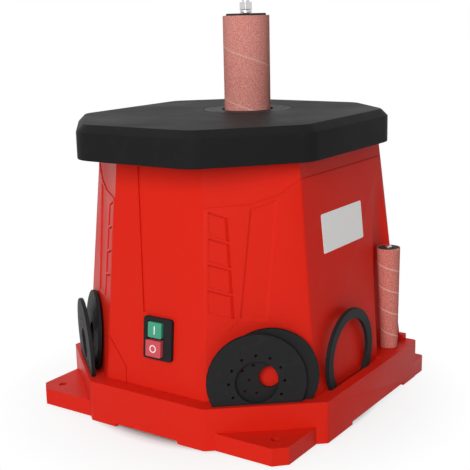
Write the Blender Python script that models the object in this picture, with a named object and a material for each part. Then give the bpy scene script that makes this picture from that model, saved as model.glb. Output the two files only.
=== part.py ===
"""Oscillating spindle sander: cast table, tapered housing, slotted base and a lifting spindle."""

import math

import bmesh
import bpy
from mathutils import Matrix, Vector

# Clearances between pieces that touch, turn or slide
GAP = 0.0003
RUNNING_GAP = 0.0005
BELT_GAP = 0.0003

# Table, centred on the origin, with its front towards -Y
TABLE_WIDTH = 0.295
TABLE_DEPTH = 0.320
TABLE_THICKNESS = 0.035
TABLE_BEVEL = 0.0075
TABLE_FRONT_CORNER = (0.079, 0.090)
TABLE_REAR_CORNER = (0.065, 0.061)
TABLE_ROUNDING = 0.030
TABLE_SKIN = 0.009
TABLE_RIM = 0.008
SPINDLE_SETBACK = 0.045

# Base pan on its rubber feet
FOOT_LIFT = 0.0025
BASE_WIDTH = 0.334
BASE_FRONT = 0.1555
BASE_BACK = 0.137
BASE_HEIGHT = 0.0436
BASE_CORNER = (0.0945, 0.079)
BASE_ROUNDING = 0.004
BASE_WALL = 0.004
DECK_THICKNESS = 0.004
EDGE_RELIEF = 0.0032
EAR_HEIGHT = 0.018
EAR_REACH = 0.0225
EAR_HOLE_RADIUS = 0.00425
FOOT_RADIUS = 0.0095
FOOT_HEIGHT = 0.0065

# Tapered housing standing on the deck
HOUSING_HEIGHT = 0.2334
HOUSING_WALL = 0.004
SIDE_LEDGE = 0.017
FRONT_LEDGE = 0.0165
BACK_LEDGE = 0.004
SIDE_LEAN = 0.0965
FRONT_LEAN = 0.092
BACK_LEAN = 0.070
HOUSING_CORNER = 0.087
HOUSING_CORNER_RATIO = 0.793
HOUSING_CORNER_SHRINK = 0.0636
HOUSING_ROUNDING = 0.006
COLLAR_HEIGHT = 0.0187
COLLAR_STEP = 0.0010
PANEL_DEPTH = 0.0026
PANEL_STEP = 0.0008
NICHE_RADIUS = 0.0335
NICHE_FROM_BACK = 0.0345
NICHE_OFFSET = 0.0149

# Ladder of slanting windows in the corner walls
LADDER_WINDOWS = 4
LADDER_PITCH = 0.0254
LADDER_TOP = 0.1876
LADDER_HEIGHT = 0.0230
LADDER_FALL = 0.0070
LADDER_LEFT = 0.0100
LADDER_RIGHT = 0.0284
LADDER_SPREAD = 0.0010
LADDER_SHADE = 0.0033
LADDER_BROW = 0.0017

# Table inserts, one in use and five stored upright in the deck
INSERT_RADIUS = 0.0495
INSERT_THICKNESS = 0.004
INSERT_HEIGHT = 0.0224
USED_OPENING = 0.0285
DUST_HOLE_RADIUS = 0.0016
DUST_RING = 0.0275
DUST_HOLES = 12

# Spindle, drum and sleeve
SHAFT_RADIUS = 0.00635
THREAD_RADIUS = 0.004
FLANGE_RADIUS = 0.011
FLANGE_THICKNESS = 0.006
WASHER_RADIUS = 0.021
SLEEVE_RADIUS = 0.0255
SLEEVE_LENGTH = 0.115
SLEEVE_WALL = 0.0012
SLEEVE_RISE = 0.1007
NUT_FLATS = 0.013
NUT_HEIGHT = 0.0081
STROKE = 0.016

# Drive hung under the table
PLATE_DROP = 0.015
PLATE_THICKNESS = 0.010
PLATE_HALF = 0.076
PLATE_FRONT = 0.108
PLATE_BACK = 0.109
PLATE_CORNER = (0.026, 0.0206)
POST_RADIUS = 0.009
MOTOR_RADIUS = 0.046
MOTOR_LENGTH = 0.124
MOTOR_SETBACK = -0.062
MOTOR_SHAFT_RADIUS = 0.006
MOTOR_PULLEY_RADIUS = 0.0164
SPINDLE_PULLEY_RADIUS = 0.0238
PULLEY_WIDTH = 0.018
BELT_WIDTH = 0.012
BELT_THICKNESS = 0.0035
LOWER_PLATE_DROP = 0.127
LOWER_LEFT = 0.026
LOWER_REACH = 0.020
LOWER_END = 0.011
ROD_RADIUS = 0.005
ROD_SPACING = 0.094
WHEEL_TEETH = 34
WHEEL_RADIUS = 0.0213
WHEEL_THICKNESS = 0.012
WORM_RADIUS = 0.0096
WORM_PITCH = 0.0039
CARRIAGE_HEIGHT = 0.024
BEARING_RADIUS = 0.016

# Switch on the leaning front wall
SWITCH_WIDTH = 0.0355
SWITCH_HEIGHT = 0.0435
SWITCH_DEPTH = 0.0045
SWITCH_BACK = 0.022
SWITCH_LIP = 0.0012
SWITCH_X = 0.0063
SWITCH_Z = 0.1008
START_SIZE = (0.0172, 0.0164)
STOP_SIZE = (0.0192, 0.0172)
START_RISE = 0.0089
STOP_RISE = -0.0099
START_PROUD = 0.0015
STOP_PROUD = 0.0035
BUTTON_SHIFT = -0.0026
BUTTON_ROOT = 0.0065
BUTTON_TRAVEL = 0.003

# Spare drum and sleeve standing on a peg of the deck
SPARE_FOOT_RADIUS = 0.0095
SPARE_TOP_RADIUS = 0.013
SPARE_LENGTH = 0.115
SPARE_INSET = 0.0015
SPARE_SHIFT = 0.0031
SPARE_LEAN = math.radians(1.2)
PEG_RADIUS = 0.004
PEG_HEIGHT = 0.022

# Ports in the back wall
PORT_RADIUS = 0.019
PORT_WALL = 0.0025
PORT_LENGTH = 0.024
PORT_Z = 0.236
GLAND_RADIUS = 0.007
GLAND_FROM_SIDE = 0.045
GLAND_Z = 0.078

# Heights that follow from the sizes above
DECK_TOP = FOOT_LIFT + BASE_HEIGHT
HOUSING_FOOT = DECK_TOP + GAP
HOUSING_TOP = HOUSING_FOOT + HOUSING_HEIGHT
TABLE_BOTTOM = HOUSING_TOP + GAP
TABLE_TOP = TABLE_BOTTOM + TABLE_THICKNESS
PLATE_TOP = TABLE_BOTTOM - PLATE_DROP
PLATE_BOTTOM = PLATE_TOP - PLATE_THICKNESS
LOWER_TOP = PLATE_BOTTOM - LOWER_PLATE_DROP
LOWER_BOTTOM = LOWER_TOP - PLATE_THICKNESS
PULLEY_TOP = LOWER_BOTTOM - GAP
PULLEY_BOTTOM = PULLEY_TOP - PULLEY_WIDTH
WHEEL_Z = LOWER_TOP + WHEEL_RADIUS + 0.0027
WHEEL_X = WORM_RADIUS + WHEEL_RADIUS + RUNNING_GAP
CRANK = STROKE / 2
CARRIAGE_BOTTOM = PLATE_BOTTOM - STROKE - CARRIAGE_HEIGHT - 0.010
CARRIAGE_TOP = CARRIAGE_BOTTOM + CARRIAGE_HEIGHT
SLEEVE_TOP = TABLE_TOP + SLEEVE_RISE
SLEEVE_BOTTOM = SLEEVE_TOP - SLEEVE_LENGTH
DRUM_RADIUS = SLEEVE_RADIUS - SLEEVE_WALL - GAP
DRUM_TOP = SLEEVE_TOP + 0.0022
SHAFT_BORE = SHAFT_RADIUS + GAP
HALF_FOOT = BASE_WIDTH / 2 - SIDE_LEDGE
FRONT_FOOT = BASE_FRONT - FRONT_LEDGE
BACK_FOOT = BASE_BACK - BACK_LEDGE
NICHE_Y = BACK_FOOT - NICHE_FROM_BACK

for item in list(bpy.data.objects):
    bpy.data.objects.remove(item, do_unlink=True)

PARTS = bpy.data.collections.new("oscillating_spindle_sander")
CUTTERS = bpy.data.collections.new("cutters")
bpy.context.scene.collection.children.link(PARTS)
bpy.context.scene.collection.children.link(CUTTERS)


def material(name, colour, roughness, metallic=0.0):
    """A plain Principled material."""
    made = bpy.data.materials.new(name)
    made.use_nodes = True
    shader = made.node_tree.nodes["Principled BSDF"]
    shader.inputs["Base Color"].default_value = (*colour, 1.0)
    shader.inputs["Roughness"].default_value = roughness
    shader.inputs["Metallic"].default_value = metallic
    return made


RED_PLASTIC = material("red_moulded_plastic", (0.72, 0.02, 0.015), 0.3)
BLACK_IRON = material("black_cast_iron", (0.02, 0.02, 0.022), 0.45, 0.3)
BLACK_PLASTIC = material("black_moulded_plastic", (0.02, 0.02, 0.02), 0.5)
RUBBER = material("black_rubber", (0.015, 0.015, 0.015), 0.8)
STEEL = material("turned_steel", (0.6, 0.6, 0.6), 0.3, 1.0)
ALUMINIUM = material("cast_aluminium", (0.55, 0.55, 0.56), 0.5, 1.0)
BRONZE = material("bearing_bronze", (0.5, 0.32, 0.12), 0.4, 1.0)
ABRASIVE = material("abrasive_cloth", (0.6, 0.16, 0.12), 0.9)
GREEN_PLASTIC = material("green_button_plastic", (0.02, 0.35, 0.06), 0.35)
STOP_PLASTIC = material("red_button_plastic", (0.75, 0.05, 0.06), 0.35)
MOTOR_PAINT = material("motor_paint", (0.12, 0.13, 0.14), 0.5, 0.2)


def add(name, shape, paint=None):
    """Turns a bmesh into a part, or into a hidden cutter when it has no paint."""
    bmesh.ops.recalc_face_normals(shape, faces=shape.faces)
    mesh = bpy.data.meshes.new(name)
    shape.to_mesh(mesh)
    shape.free()
    made = bpy.data.objects.new(name, mesh)
    if paint is None:
        CUTTERS.objects.link(made)
        made.hide_render = True
        made.display_type = "WIRE"
    else:
        PARTS.objects.link(made)
        mesh.materials.append(paint)
    return made


def cut(body, tool, operation="DIFFERENCE"):
    """Adds one exact Boolean step to a body."""
    step = body.modifiers.new(tool.name, "BOOLEAN")
    step.operation = operation
    step.object = tool
    step.solver = "EXACT"


def unite(body, tool):
    """Joins a hidden helper solid to a body."""
    cut(body, tool, "UNION")


def rounded(outline, radius, steps=3):
    """A convex outline with each corner replaced by an arc."""
    result = []
    for index, point in enumerate(outline):
        corner = Vector(point)
        before = (Vector(outline[index - 1]) - corner).normalized()
        after = (Vector(outline[(index + 1) % len(outline)]) - corner).normalized()
        half = before.angle(after) / 2
        centre = corner + (before + after).normalized() * radius / math.sin(half)
        start = corner + before * radius / math.tan(half) - centre
        for step in range(steps + 1):
            turn = (math.pi - 2 * half) * step / steps
            result.append(centre + Matrix.Rotation(turn, 2) @ start)
    return result


def inset(outline, distance):
    """A convex outline moved inwards by a distance."""
    lines = []
    for start, end in zip(outline, outline[1:] + outline[:1]):
        along = (Vector(end) - Vector(start)).normalized()
        inward = Vector((-along.y, along.x))
        lines.append((Vector(start) + inward * distance, along))
    result = []
    for (first, along), (second, other) in zip(lines[-1:] + lines[:-1], lines):
        reach = (second - first).cross(other) / along.cross(other)
        result.append(first + along * reach)
    return result


def mirrored(outline):
    """The outline on the other side of the middle plane, still anticlockwise."""
    return [(-x, y) for x, y in reversed(outline)]


def plate(name, outline, bottom, top, paint=None):
    """A flat outline drawn at one height and extruded to another."""
    shape = bmesh.new()
    shape.faces.new([shape.verts.new((x, y, bottom)) for x, y in outline])
    grown = bmesh.ops.extrude_face_region(shape, geom=shape.faces[:])
    moved = [part for part in grown["geom"] if isinstance(part, bmesh.types.BMVert)]
    bmesh.ops.translate(shape, verts=moved, vec=(0, 0, top - bottom))
    return add(name, shape, paint)


def loft(name, rings, paint=None):
    """A solid through outlines of equal count at rising heights."""
    shape = bmesh.new()
    loops = [[shape.verts.new((x, y, z)) for x, y in outline] for outline, z in rings]
    for lower, upper in zip(loops, loops[1:]):
        for index in range(len(lower)):
            shape.faces.new((lower[index - 1], lower[index], upper[index], upper[index - 1]))
    shape.faces.new(loops[0][::-1])
    shape.faces.new(loops[-1])
    return add(name, shape, paint)


def turned(name, profile, paint=None, steps=32, place=None, closed=False):
    """A profile of radius and height spun about Z, then placed."""
    shape = bmesh.new()
    points = [shape.verts.new((radius, 0, height)) for radius, height in profile]
    pairs = list(zip(points, points[1:] + points[:1]))
    for start, end in pairs if closed else pairs[:-1]:
        shape.edges.new((start, end))
    whole = shape.verts[:] + shape.edges[:]
    bmesh.ops.spin(shape, geom=whole, axis=(0, 0, 1), cent=(0, 0, 0), steps=steps, angle=math.tau)
    bmesh.ops.remove_doubles(shape, verts=shape.verts, dist=1e-6)
    made = add(name, shape, paint)
    made.matrix_world = place or Matrix()
    return made


def tube(name, bore, radius, bottom, top, paint=None, steps=32, place=None):
    """A plain sleeve between two heights."""
    profile = [(radius, top), (radius, bottom), (bore, bottom), (bore, top)]
    return turned(name, profile, paint, steps, place, closed=True)


def rod(name, radius, bottom, top, paint=None, steps=24, place=None):
    """A plain round bar between two heights."""
    profile = [(0, top), (radius, top), (radius, bottom), (0, bottom)]
    return turned(name, profile, paint, steps, place)


def block(name, low, high, paint=None, place=None):
    """A box between two corners, then placed."""
    shape = bmesh.new()
    bmesh.ops.create_cube(shape, size=1.0)
    size = [b - a for a, b in zip(low, high)]
    centre = [(a + b) / 2 for a, b in zip(low, high)]
    bmesh.ops.scale(shape, vec=size, verts=shape.verts)
    bmesh.ops.translate(shape, vec=centre, verts=shape.verts)
    made = add(name, shape, paint)
    made.matrix_world = place or Matrix()
    return made


def bars(name, bores, steps=12):
    """One hidden cutter made of several round bars: (place, radius, length)."""
    shape = bmesh.new()
    for place, radius, length in bores:
        bmesh.ops.create_cone(
            shape,
            cap_ends=True,
            segments=steps,
            radius1=radius,
            radius2=radius,
            depth=length,
            matrix=place,
        )
    return add(name, shape)


def at(x, y, z=0.0):
    """A plain shift."""
    return Matrix.Translation((x, y, z))


def face_frame(origin, along, up):
    """A frame lying in a wall: x along it, y up it and z out of it."""
    along = Vector(along).normalized()
    up = Vector(up)
    up = (up - along * up.dot(along)).normalized()
    out = along.cross(up)
    frame = Matrix((along, up, out)).transposed().to_4x4()
    frame.translation = Vector(origin)
    return frame


def prisms(outlines, low, high):
    """Flat outlines drawn in a wall's frame and extruded along its outward direction."""
    shape = bmesh.new()
    for outline in outlines:
        face = shape.faces.new([shape.verts.new((x, y, low)) for x, y in outline])
        grown = bmesh.ops.extrude_face_region(shape, geom=[face])
        moved = [part for part in grown["geom"] if isinstance(part, bmesh.types.BMVert)]
        bmesh.ops.translate(shape, verts=moved, vec=(0, 0, high - low))
    return shape


def slab(name, outlines, low, high, place, paint=None):
    """Prisms placed in a wall, as one object."""
    made = add(name, prisms(outlines, low, high), paint)
    made.matrix_world = place
    return made


def carved(cells):
    """Cutters with an uneven floor: (outline, depth under each corner, floors as corner numbers)."""
    shape = bmesh.new()
    for outline, depths, floors in cells:
        low = [shape.verts.new((x, y, -depth)) for (x, y), depth in zip(outline, depths)]
        high = [shape.verts.new((x, y, OUTSIDE)) for x, y in outline]
        for floor in floors:
            shape.faces.new([low[corner] for corner in floor])
        shape.faces.new(high)
        for index in range(len(low)):
            shape.faces.new((low[index - 1], low[index], high[index], high[index - 1]))
    return shape


def drafted(rim, floor, depth):
    """A cutter with sloping walls, from the rim in the wall's face down to its floor."""
    shape = bmesh.new()
    low = [shape.verts.new((x, y, -depth)) for x, y in floor]
    high = [shape.verts.new((2 * a - c, 2 * b - d, depth)) for (a, b), (c, d) in zip(rim, floor)]
    shape.faces.new(low)
    shape.faces.new(high)
    for index in range(len(low)):
        shape.faces.new((low[index - 1], low[index], high[index], high[index - 1]))
    return shape


def strip(points, width):
    """The outline of a line of that width through the points."""
    left, right = [], []
    for index, point in enumerate(points):
        before = Vector(points[max(index - 1, 0)])
        after = Vector(points[min(index + 1, len(points) - 1)])
        along = (after - before).normalized()
        side = Vector((-along.y, along.x)) * width / 2
        left.append(tuple(Vector(point) + side))
        right.append(tuple(Vector(point) - side))
    return right + left[::-1]


def share(start, end, part):
    """A point part of the way from one point to another."""
    return tuple(Vector(start).lerp(Vector(end), part))


def rectangle(low, high):
    """Four corners, anticlockwise."""
    return [(low[0], low[1]), (high[0], low[1]), (high[0], high[1]), (low[0], high[1])]


# Outlines seen from above
def corner_outline(half, front, back, corner):
    """A plan with two cut front corners and a square back."""
    cut_x, cut_y = corner
    return [
        (-half + cut_x, -front),
        (half - cut_x, -front),
        (half, -front + cut_y),
        (half, back),
        (-half, back),
        (-half, -front + cut_y),
    ]


def housing_outline(rise):
    """The housing's plan at a height above its foot."""
    cut_x = HOUSING_CORNER - HOUSING_CORNER_SHRINK * rise
    corner = (cut_x, cut_x * HOUSING_CORNER_RATIO)
    half = HALF_FOOT - SIDE_LEAN * rise
    return corner_outline(half, FRONT_FOOT - FRONT_LEAN * rise, BACK_FOOT - BACK_LEAN * rise, corner)


def table_outline(distance=0.0):
    """The table's eight-sided plan, moved inwards."""
    half_x, half_y = TABLE_WIDTH / 2, TABLE_DEPTH / 2
    front_x, front_y = TABLE_FRONT_CORNER
    rear_x, rear_y = TABLE_REAR_CORNER
    right = [(half_x - front_x, -half_y), (half_x, -half_y + front_y)]
    right += [(half_x, half_y - rear_y), (half_x - rear_x, half_y)]
    outline = right + [(-x, y) for x, y in reversed(right)]
    return rounded(inset(outline, distance), TABLE_ROUNDING - distance)


COLLAR_RISE = HOUSING_HEIGHT - COLLAR_HEIGHT
RIM_OUTLINE = housing_outline(HOUSING_HEIGHT)
BASE_OUTLINE = corner_outline(BASE_WIDTH / 2, BASE_FRONT, BASE_BACK, BASE_CORNER)

# Frames of the base's corner wall and of the housing's walls
BASE_CORNER_FRAME = face_frame(
    (BASE_WIDTH / 2 - BASE_CORNER[0], -BASE_FRONT, DECK_TOP), (BASE_CORNER[0], BASE_CORNER[1], 0), (0, 0, 1)
)
FOOT_CORNERS = housing_outline(0)
TOP_CORNERS = housing_outline(HOUSING_HEIGHT)


def wall_frame(first, second):
    """The frame of a housing wall that runs between two corners of its plan, with its origin at the first."""
    low = Vector((*FOOT_CORNERS[first], HOUSING_FOOT))
    side = Vector((*FOOT_CORNERS[second], HOUSING_FOOT))
    high = Vector((*TOP_CORNERS[first], HOUSING_TOP))
    return face_frame(low, side - low, high - low)


CORNER_WALL = wall_frame(1, 2)
SIDE_WALL = wall_frame(2, 3)
BACK_WALL = wall_frame(3, 4)
FRONT_WALL = wall_frame(0, 1) @ at(-FOOT_CORNERS[0][0], 0)
FRONT_SLOPE = math.sqrt(1 + FRONT_LEAN**2)
BACK_SLOPE = math.sqrt(1 + BACK_LEAN**2)
FLIP = Matrix.Diagonal((-1, 1, 1, 1))
OUTSIDE = 0.006


def both_sides(body, name, draw, place):
    """Cuts a drawn shape into a right-hand wall, and its mirror image into the left one."""
    right = add(name, draw())
    right.matrix_world = place
    cut(body, right)
    left = add(name + "_mirror", draw())
    left.data.transform(FLIP @ place)
    left.data.flip_normals()
    cut(body, left)


def on_left(place):
    """The mirror place on the left, kept right-handed."""
    return FLIP @ place @ FLIP


# Base pan: walls, deck, four ears and the peg for the spare drum
base = plate("base", rounded(BASE_OUTLINE, BASE_ROUNDING), FOOT_LIFT, DECK_TOP, RED_PLASTIC)
EAR_TOP = FOOT_LIFT + EAR_HEIGHT
EAR_SIDE = BASE_WIDTH / 2 - 0.009
EAR_FRONT = BASE_FRONT - 0.007
EAR_TIP = 0.012
CORNER_X = BASE_WIDTH / 2 - BASE_CORNER[0]
CORNER_Y = -BASE_FRONT + BASE_CORNER[1]
FRONT_EAR = [
    (CORNER_X + 0.004, -EAR_FRONT),
    (EAR_SIDE - EAR_TIP, -EAR_FRONT),
    (EAR_SIDE, -EAR_FRONT + EAR_TIP),
    (EAR_SIDE, CORNER_Y - 0.004),
    (CORNER_X + BASE_CORNER[0] * 0.6, CORNER_Y - 0.004),
    (CORNER_X + 0.004, -BASE_FRONT + BASE_CORNER[1] * 0.3),
]
REAR_EAR = rectangle(
    (BASE_WIDTH / 2 - 0.060, BASE_BACK - 0.012), (BASE_WIDTH / 2 - 0.0005, BASE_BACK + EAR_REACH)
)
FRONT_HOLE = (EAR_SIDE - 0.0195, -EAR_FRONT + 0.0195)
REAR_HOLE = (BASE_WIDTH / 2 - 0.020, BASE_BACK + EAR_REACH - 0.011)
for side, turn in (("right", list), ("left", mirrored)):
    unite(base, plate("front_ear_" + side, turn(FRONT_EAR), FOOT_LIFT, EAR_TOP))
    unite(base, plate("rear_ear_" + side, rounded(turn(REAR_EAR), 0.005), FOOT_LIFT, EAR_TOP))
CAVITY = rounded(inset(BASE_OUTLINE, BASE_WALL), BASE_ROUNDING / 2)
cut(base, plate("base_cavity", CAVITY, FOOT_LIFT - 0.002, DECK_TOP - DECK_THICKNESS))
cut(base, block("front_relief", (-0.040, -0.20, 0), (0.040, -BASE_FRONT + 0.02, FOOT_LIFT + EDGE_RELIEF)))
cut(base, block("side_relief", (-0.20, -0.024, 0), (0.20, 0.102, FOOT_LIFT + EDGE_RELIEF)))
cut(base, block("rear_relief", (-0.080, BASE_BACK - 0.02, 0), (0.080, 0.20, FOOT_LIFT + EDGE_RELIEF)))

# Bolt holes through the ears, with a seat for a ring foot under each
FOOT_SPOTS = {
    "front_right": FRONT_HOLE,
    "front_left": (-FRONT_HOLE[0], FRONT_HOLE[1]),
    "rear_right": REAR_HOLE,
    "rear_left": (-REAR_HOLE[0], REAR_HOLE[1]),
}
FOOT_SEAT = FOOT_HEIGHT + GAP
cut(base, bars("ear_holes", [(at(x, y, 0), EAR_HOLE_RADIUS, 0.08) for x, y in FOOT_SPOTS.values()], 16))
SEATS = [(at(x, y, 0), FOOT_RADIUS + GAP, 2 * FOOT_SEAT) for x, y in FOOT_SPOTS.values()]
cut(base, bars("foot_seats", SEATS, 18))
for spot, (x, y) in FOOT_SPOTS.items():
    tube("foot_" + spot, EAR_HOLE_RADIUS, FOOT_RADIUS, 0, FOOT_HEIGHT, RUBBER, 18, at(x, y))

# Slots in the deck for the stored inserts: along the corner, inside it, height of the middle, lean
LEFT_SPLAY = math.radians(2)
CORNER_LEAN = math.asin(CORNER_WALL[2][2])
STORED = {
    "front_outer_insert": (0.0540, 0.0048, INSERT_HEIGHT, 0.0),
    "front_inner_insert": (0.0675, 0.0106, INSERT_HEIGHT + 0.003, 0.0),
    "left_outer_insert": (0.0553, 0.0036, INSERT_HEIGHT + 0.0014, -LEFT_SPLAY),
    "left_inner_insert": (0.0740, 0.0112, INSERT_HEIGHT + 0.0045, CORNER_LEAN),
}
SLOT_DEPTH = 0.028
PLACES = {}


def half_chord(rise):
    """Half the length of a stored insert where the deck's top meets it."""
    return math.sqrt(INSERT_RADIUS**2 - rise**2) + GAP


for name, (along, inside, rise, lean) in STORED.items():
    foot = BASE_CORNER_FRAME @ at(along, 0, -inside) @ Matrix.Rotation(-lean, 4, "X")
    middle = foot @ at(0, rise, -INSERT_THICKNESS)
    if name.startswith("left"):
        foot, middle = on_left(foot), on_left(middle)
    PLACES[name] = middle
    low = (-half_chord(rise), -SLOT_DEPTH, -INSERT_THICKNESS - GAP)
    cut(base, block(name + "_slot", low, (half_chord(rise), SLOT_DEPTH, GAP), None, foot))
RING_FROM_SIDE = 0.0133
RING_X = BASE_WIDTH / 2 - RING_FROM_SIDE
RING_Y = -0.0056
RING_RISE = INSERT_HEIGHT + 0.0018
RING_REACH = half_chord(RING_RISE)
RING_HALF = INSERT_THICKNESS / 2 + GAP
RING_SLOT_END = RING_Y + RING_REACH
low = (RING_X - RING_HALF, RING_Y - RING_REACH, DECK_TOP - SLOT_DEPTH)
cut(base, block("ring_slot", low, (RING_X + RING_HALF, RING_SLOT_END, DECK_TOP + SLOT_DEPTH)))
low = (RING_X - RING_HALF, RING_SLOT_END - 0.002, DECK_TOP - 0.0018)
cut(base, block("ring_groove", low, (RING_X + RING_HALF, RING_SLOT_END + 0.025, DECK_TOP + SLOT_DEPTH)))
SPARE_PLACE = (HALF_FOOT - SPARE_INSET, NICHE_Y + SPARE_SHIFT, DECK_TOP)
SPARE_FRAME = at(*SPARE_PLACE) @ Matrix.Rotation(-SPARE_LEAN, 4, "Y")
unite(base, rod("peg", PEG_RADIUS, -DECK_THICKNESS / 2, PEG_HEIGHT, None, 20, SPARE_FRAME))

# Screws that come up through the deck into bosses of the housing
BOSS_X = HALF_FOOT - HOUSING_WALL - 0.005
BOSS_SPOTS = [(side * BOSS_X, y) for y in (-0.045, 0.045) for side in (-1, 1)]
SCREW_RADIUS = 0.002
SCREW_DEPTH = 0.014
cut(base, bars("deck_holes", [(at(x, y, DECK_TOP), SCREW_RADIUS + GAP, 0.03) for x, y in BOSS_SPOTS]))
for number, (x, y) in enumerate(BOSS_SPOTS, 1):
    under = DECK_TOP - DECK_THICKNESS - GAP
    profile = [(0, HOUSING_FOOT + SCREW_DEPTH), (SCREW_RADIUS, HOUSING_FOOT + SCREW_DEPTH)]
    profile += [(SCREW_RADIUS, under), (0.0045, under), (0.0036, under - 0.003), (0, under - 0.003)]
    turned("base_screw_%d" % number, profile, STEEL, 12, at(x, y))

# Housing shell: a tapered body, hollow from foot to table
RINGS = []
for rise in (0, HOUSING_HEIGHT):
    RINGS.append((rounded(housing_outline(rise), HOUSING_ROUNDING), HOUSING_FOOT + rise))
housing = loft("housing", RINGS, RED_PLASTIC)
OVER = 0.004
INNER = []
for rise in (-OVER, HOUSING_HEIGHT + OVER):
    outline = inset(housing_outline(rise), HOUSING_WALL)
    INNER.append((rounded(outline, HOUSING_ROUNDING / 2), HOUSING_FOOT + rise))
hollow = loft("housing_hollow", INNER)
NICHE_X = HALF_FOOT + NICHE_OFFSET
NICHE_TOP = HOUSING_FOOT + COLLAR_RISE - 0.004
NICHE = at(NICHE_X, NICHE_Y)
cut(hollow, rod("niche_wall", NICHE_RADIUS + HOUSING_WALL, 0, NICHE_TOP + HOUSING_WALL, None, 32, NICHE))
cut(housing, hollow)
cut(housing, rod("niche", NICHE_RADIUS, 0, NICHE_TOP, None, 32, NICHE))
for number, (x, y) in enumerate(BOSS_SPOTS, 1):
    unite(housing, rod("boss_%d" % number, 0.007, HOUSING_FOOT, HOUSING_FOOT + 0.020, None, 20, at(x, y)))
SCREW_HOLE = SCREW_DEPTH + 0.001
cut(
    housing,
    bars("boss_holes", [(at(x, y, HOUSING_FOOT), SCREW_RADIUS + GAP, 2 * SCREW_HOLE) for x, y in BOSS_SPOTS]),
)
LIP = rectangle((-HALF_FOOT - 0.004, BACK_FOOT - HOUSING_WALL), (HALF_FOOT + 0.004, BASE_BACK - 0.001))
unite(housing, plate("rear_lip", LIP, HOUSING_FOOT, HOUSING_FOOT + 0.006))

# Rim set back above the sides and rear, sweeping down over both front corners
COLLAR_UP = COLLAR_RISE * math.sqrt(1 + SIDE_LEAN**2)
ABOVE = HOUSING_HEIGHT + 0.02
ARCH = [(-0.004, 0.1902), (0.0508, 0.1928), (0.0775, 0.2005), (0.0992, COLLAR_UP), (0.125, COLLAR_UP)]
ARCH += [(0.125, ABOVE), (-0.004, ABOVE)]
both_sides(housing, "corner_rim", lambda: prisms([ARCH], -COLLAR_STEP, OUTSIDE), CORNER_WALL)
SIDE_RIM = rectangle((-0.01, COLLAR_UP), (BASE_BACK + BASE_FRONT, ABOVE))
both_sides(housing, "side_rim", lambda: prisms([SIDE_RIM], -COLLAR_STEP, OUTSIDE), SIDE_WALL)
BACK_RIM = rectangle((-0.01, COLLAR_UP), (BASE_WIDTH, ABOVE))
cut(housing, slab("back_rim", [BACK_RIM], -COLLAR_STEP, OUTSIDE, BACK_WALL))

# Ladder of slanting windows, each deepest along its right side and under its brow
WINDOWS, BROWS = [], []
for number in range(LADDER_WINDOWS):
    spread = LADDER_SPREAD * number
    top = LADDER_TOP - LADDER_PITCH * number
    left, right = LADDER_LEFT - spread, LADDER_RIGHT + spread
    corners = [(left, top - LADDER_HEIGHT), (right + LADDER_SPREAD, top - LADDER_FALL - LADDER_HEIGHT)]
    corners += [(right, top - LADDER_FALL), (left, top)]
    inner = 1 - LADDER_SHADE / (right - left)
    low, high = share(corners[0], corners[1], inner), share(corners[3], corners[2], inner)
    outline = [corners[0], low, corners[1], corners[2], high, corners[3]]
    depths = [PANEL_STEP, PANEL_STEP, PANEL_DEPTH, PANEL_DEPTH, PANEL_STEP, PANEL_STEP]
    WINDOWS.append((outline, depths, [(0, 1, 4, 5), (1, 2, 3, 4)]))
    start, end = share(corners[3], high, 0.03), share(corners[3], high, 0.97)
    brow = [(x, y - GAP) for x, y in (start, end)]
    BROWS.append([(x, y - LADDER_BROW) for x, y in brow] + brow[::-1])
both_sides(housing, "ladder", lambda: carved(WINDOWS), CORNER_WALL)
both_sides(housing, "ladder_brows", lambda: prisms(BROWS, -PANEL_DEPTH, OUTSIDE), CORNER_WALL)

# Sunk band beside the ladder, with sloping walls, and the crease at its foot
BAND_RIM = [(0.0368, 0.0800), (0.0648, 0.0780), (0.0754, 0.1792), (0.0772, 0.1975), (0.0500, 0.1895)]
BAND_FLOOR = [(0.0394, 0.0826), (0.0624, 0.0810), (0.0731, 0.1795), (0.0745, 0.1940), (0.0518, 0.1871)]
both_sides(housing, "corner_band", lambda: drafted(BAND_RIM, BAND_FLOOR, PANEL_DEPTH / 2), CORNER_WALL)
CREASE = [strip([(0.0360, 0.0800), (0.0262, 0.0690)], 0.0014)]
both_sides(housing, "corner_crease", lambda: prisms(CREASE, -PANEL_STEP, OUTSIDE), CORNER_WALL)

# Groove down the front wall and the creased panel at its lower left
GROOVE = [strip([(-0.0141, 0.0790), (-0.0250, 0.2280)], 0.0030)]
cut(housing, slab("front_groove", GROOVE, -PANEL_DEPTH * 0.7, OUTSIDE, FRONT_WALL))
FRONT_CREASE = [strip([(-0.0660, 0.0532), (-0.0371, 0.0170), (-0.0368, -0.0020)], 0.0016)]
cut(housing, slab("front_crease", FRONT_CREASE, -PANEL_STEP * 1.5, OUTSIDE, FRONT_WALL))

# Switch case through the front wall, with its two sprung buttons
SWITCH_UP = (SWITCH_Z - HOUSING_FOOT) * FRONT_SLOPE
SWITCH = FRONT_WALL @ at(SWITCH_X, SWITCH_UP)
HALF_W, HALF_H = SWITCH_WIDTH / 2, SWITCH_HEIGHT / 2
BODY_W, BODY_H = HALF_W - SWITCH_LIP, HALF_H - SWITCH_LIP
cut(housing, slab("switch_hole", [rectangle((-BODY_W, -BODY_H), (BODY_W, BODY_H))], -0.02, 0.01, SWITCH))
bezel = rounded(rectangle((-HALF_W, -HALF_H), (HALF_W, HALF_H)), 0.003)
case = slab("switch_case", [bezel], GAP, GAP + SWITCH_DEPTH, SWITCH, BLACK_PLASTIC)
stem = rectangle((-BODY_W + GAP, -BODY_H + GAP), (BODY_W - GAP, BODY_H - GAP))
unite(case, slab("switch_stem", [stem], -SWITCH_BACK, GAP + SWITCH_DEPTH / 2, SWITCH))
BUTTON_FLOOR = GAP + SWITCH_DEPTH - BUTTON_ROOT
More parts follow.
